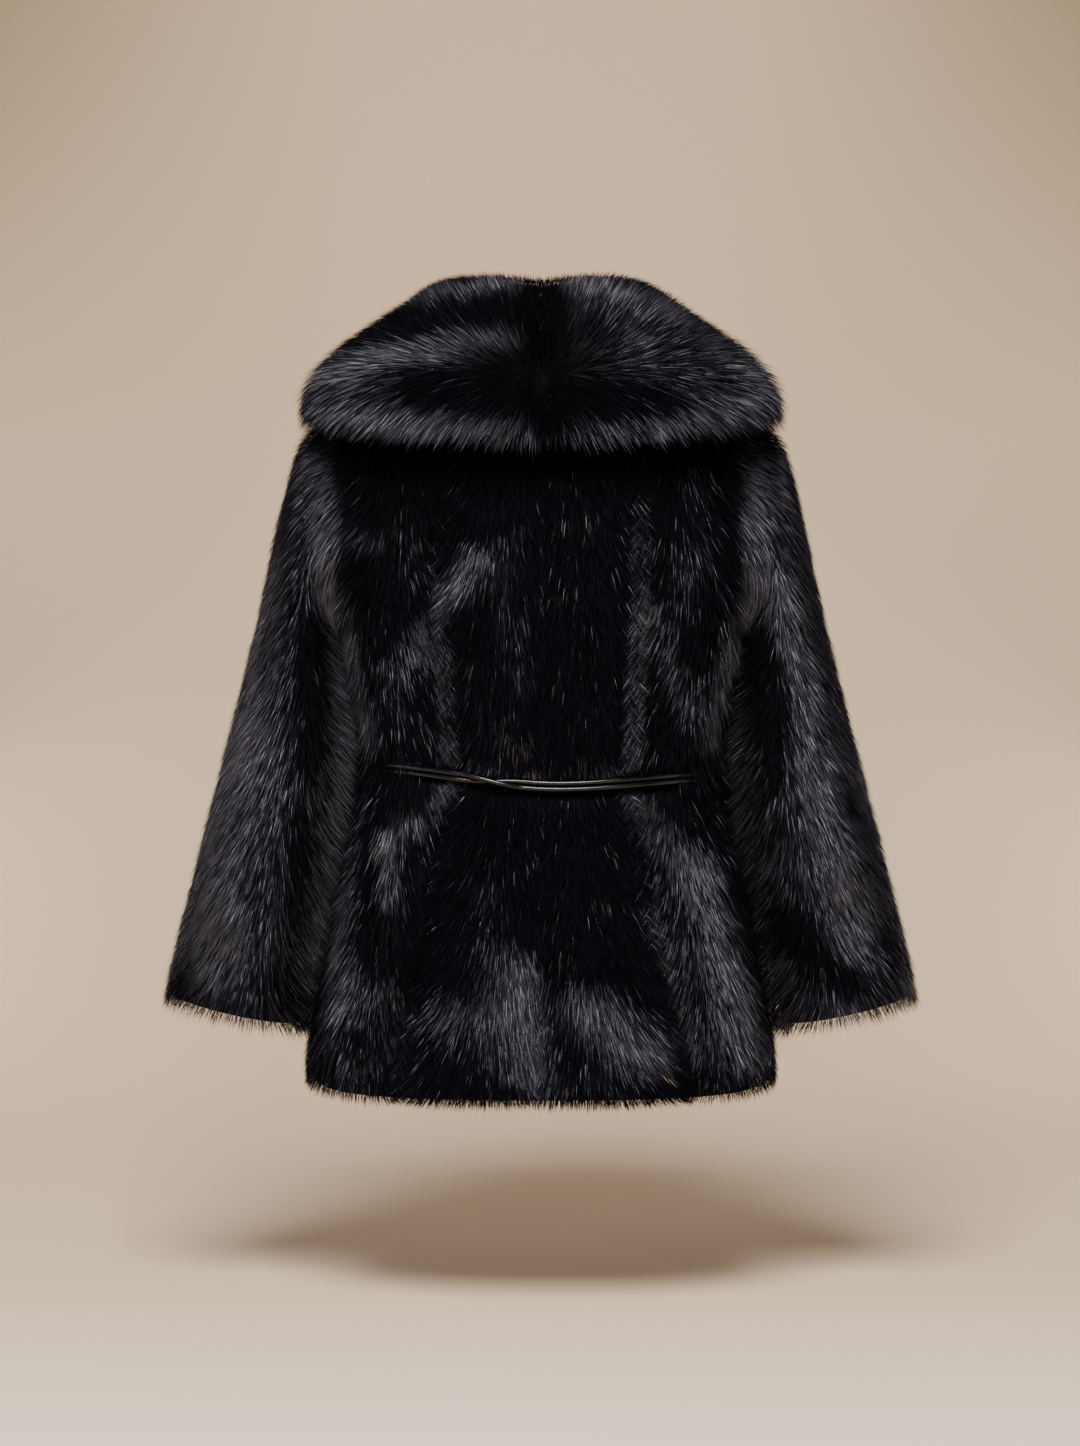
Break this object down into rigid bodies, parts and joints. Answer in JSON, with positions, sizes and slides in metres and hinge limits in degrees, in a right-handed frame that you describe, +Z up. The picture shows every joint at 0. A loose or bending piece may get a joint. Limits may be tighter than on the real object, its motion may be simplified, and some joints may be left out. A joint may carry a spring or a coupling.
{
  "type": "faux fur coat",
  "caption": "Short black faux fur coat with a deep fur collar, wide sleeves and a thin leather cord belt, in its worn shape.",
  "frame": {"origin": "middle of the neck opening, level with the neck ends of the shoulders, where the wearer carries the coat", "axes": "+Z up; the wearer faces -Y, so the back of the coat is on +Y; +X is the wearer's left"},
  "size_m": [0.7502, 0.3324, 0.8056],
  "materials": {
    "fur": "long soft pile, slightly glossy",
    "leather": "smooth, glossy"
  },
  "bodies": {
    "root": {"back_left": "fur", "back_right": "fur", "side_left": "fur", "side_right": "fur", "front_left": "fur", "front_right": "fur", "sleeve_left": "fur", "sleeve_right": "fur", "collar_left": "fur", "collar_right": "fur", "belt_upper": "leather", "belt_lower": "leather", "belt_knot": "leather"}
  },
  "joints": []
}
